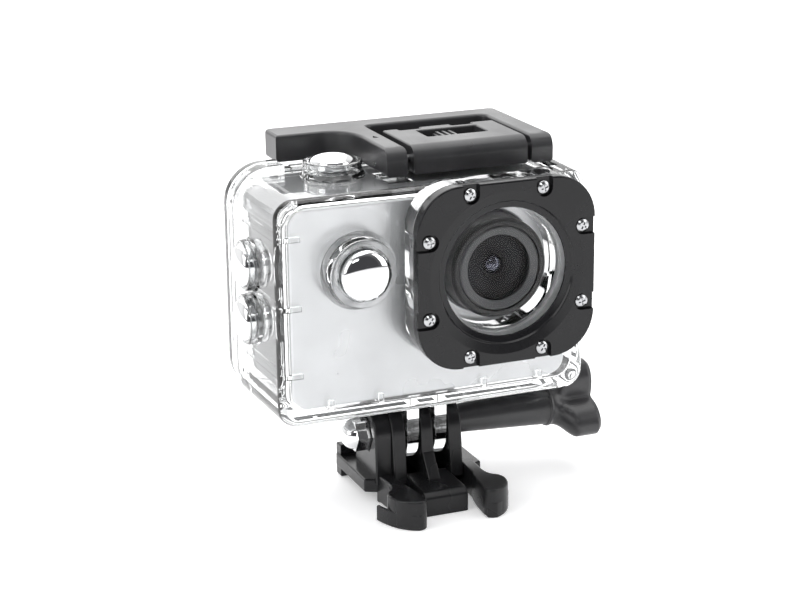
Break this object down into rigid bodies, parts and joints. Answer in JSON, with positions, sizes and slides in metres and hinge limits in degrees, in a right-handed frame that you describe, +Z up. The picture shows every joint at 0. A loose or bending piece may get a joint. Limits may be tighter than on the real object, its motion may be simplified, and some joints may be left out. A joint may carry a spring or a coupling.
{
  "type": "action camera in waterproof housing",
  "caption": "Compact action camera in a clear waterproof housing with a latch on top, push buttons and a tilting thumb-screw joint on a snap-in buckle.",
  "frame": {"origin": "on the flat underside of the buckle, straight below the axis of the thumb screw and midway between the outer prongs", "axes": "+X to the right in front view (the long direction, thumb screw's knob at +X), +Y to the back (the lens looks along -Y), +Z up from the buckle's underside"},
  "size_m": [0.0768, 0.0481, 0.0735],
  "materials": {
    "clear_plastic": "clear polycarbonate",
    "seal_rubber": "translucent silicone",
    "steel": "bright",
    "spring_steel": "drawn wire",
    "black_plastic": "satin",
    "chrome": "polished",
    "silver_paint": "satin silver",
    "camera_shell": "fine texture",
    "lens_black": "satin",
    "dark_glass": "coated",
    "circuit": "solder mask",
    "sensor": "moulded package",
    "cell": "wrapped label"
  },
  "bodies": {
    "buckle": {"buckle_base": "black_plastic", "acorn_nut": "chrome"},
    "leg_left": {"buckle_leg_left": "black_plastic"},
    "leg_right": {"buckle_leg_right": "black_plastic"},
    "thumb_screw": {"screw_bolt": "steel", "thumb_knob": "black_plastic"},
    "housing": {"front_shell": "clear_plastic", "door_hinge_pin": "steel", "lens_frame": "black_plastic", "lens_window": "clear_plastic", "window_seal": "seal_rubber", "frame_screw_1": "steel", "frame_screw_2": "steel", "frame_screw_3": "steel", "frame_screw_4": "steel", "frame_screw_5": "steel", "frame_screw_6": "steel", "frame_screw_7": "steel", "frame_screw_8": "steel", "lock_plate": "black_plastic", "latch_pin": "steel", "camera_case": "camera_shell", "camera_front_plate": "silver_paint", "camera_back_cover": "camera_shell", "lens_barrel": "lens_black", "lens_bezel": "lens_black", "lens_cover_glass": "dark_glass", "lens_element": "dark_glass", "lens_cell": "lens_black", "camera_screen": "dark_glass", "battery": "cell", "battery_door": "camera_shell", "circuit_board": "circuit", "image_sensor": "sensor", "front_button_spring": "spring_steel", "top_button_spring": "spring_steel", "side_button_upper_spring": "spring_steel", "side_button_lower_spring": "spring_steel"},
    "door": {"back_door": "clear_plastic", "door_seal": "seal_rubber"},
    "latch": {"latch_lever": "black_plastic"},
    "lock": {"lock_slider": "black_plastic"},
    "front_cap": {"front_button": "chrome"},
    "top_cap": {"top_button": "chrome"},
    "upper_cap": {"side_button_upper": "chrome"},
    "lower_cap": {"side_button_lower": "chrome"},
    "power_key": {"camera_power_button": "silver_paint"},
    "shutter_key": {"camera_shutter_button": "silver_paint"},
    "upper_key": {"camera_upper_button": "silver_paint"},
    "lower_key": {"camera_lower_button": "silver_paint"}
  },
  "joints": [
    {"name": "housing_tilt", "type": "hinge", "parent": "buckle", "child": "housing", "pos_m": [0, 0, 0.0137], "axis": [1, 0, 0], "range_deg": [-40, 60]},
    {"name": "thumb_screw_turn", "type": "hinge", "parent": "buckle", "child": "thumb_screw", "pos_m": [0, 0, 0.0137], "axis": [1, 0, 0], "continuous": true},
    {"name": "leg_left_squeeze", "type": "hinge", "parent": "buckle", "child": "leg_left", "pos_m": [-0.0094, -0.0052, 0.003], "axis": [0, 0, 1], "range_deg": [0, 6], "stiffness_Nm_per_rad": 0.6},
    {"name": "leg_right_squeeze", "type": "hinge", "parent": "buckle", "child": "leg_right", "pos_m": [0.0094, -0.0052, 0.003], "axis": [0, 0, -1], "range_deg": [0, 6], "stiffness_Nm_per_rad": 0.6},
    {"name": "latch_lift", "type": "hinge", "parent": "housing", "child": "latch", "pos_m": [0, -0.0008, 0.07065], "axis": [1, 0, 0], "range_deg": [0, 95]},
    {"name": "door_open", "type": "hinge", "parent": "housing", "child": "door", "pos_m": [0, 0.0155, 0.0202], "axis": [-1, 0, 0], "range_deg": [0, 95]},
    {"name": "lock_slide", "type": "slide", "parent": "housing", "child": "lock", "axis": [1, 0, 0], "range_m": [0, 0.003]},
    {"name": "front_button_press", "type": "slide", "parent": "housing", "child": "front_cap", "axis": [0, 1, 0], "range_m": [0, 0.0016], "stiffness_N_per_m": 400, "deforming": ["front_button_spring"]},
    {"name": "top_button_press", "type": "slide", "parent": "housing", "child": "top_cap", "axis": [0, 0, -1], "range_m": [0, 0.0016], "stiffness_N_per_m": 400, "deforming": ["top_button_spring"]},
    {"name": "side_button_upper_press", "type": "slide", "parent": "housing", "child": "upper_cap", "axis": [1, 0, 0], "range_m": [0, 0.0016], "stiffness_N_per_m": 400, "deforming": ["side_button_upper_spring"]},
    {"name": "side_button_lower_press", "type": "slide", "parent": "housing", "child": "lower_cap", "axis": [1, 0, 0], "range_m": [0, 0.0016], "stiffness_N_per_m": 400, "deforming": ["side_button_lower_spring"]},
    {"name": "power_key_press", "type": "slide", "parent": "housing", "child": "power_key", "axis": [0, 1, 0], "range_m": [0, 0.0004], "stiffness_N_per_m": 400},
    {"name": "shutter_key_press", "type": "slide", "parent": "housing", "child": "shutter_key", "axis": [0, 0, -1], "range_m": [0, 0.0004], "stiffness_N_per_m": 400},
    {"name": "upper_key_press", "type": "slide", "parent": "housing", "child": "upper_key", "axis": [1, 0, 0], "range_m": [0, 0.0004], "stiffness_N_per_m": 400},
    {"name": "lower_key_press", "type": "slide", "parent": "housing", "child": "lower_key", "axis": [1, 0, 0], "range_m": [0, 0.0004], "stiffness_N_per_m": 400}
  ],
  "couplings": [
    {"joint": "door_open", "follows": "latch_lift", "ratio": 1},
    {"joint": "power_key_press", "follows": "front_button_press", "ratio": 0.25},
    {"joint": "shutter_key_press", "follows": "top_button_press", "ratio": 0.25},
    {"joint": "upper_key_press", "follows": "side_button_upper_press", "ratio": 0.25},
    {"joint": "lower_key_press", "follows": "side_button_lower_press", "ratio": 0.25}
  ]
}
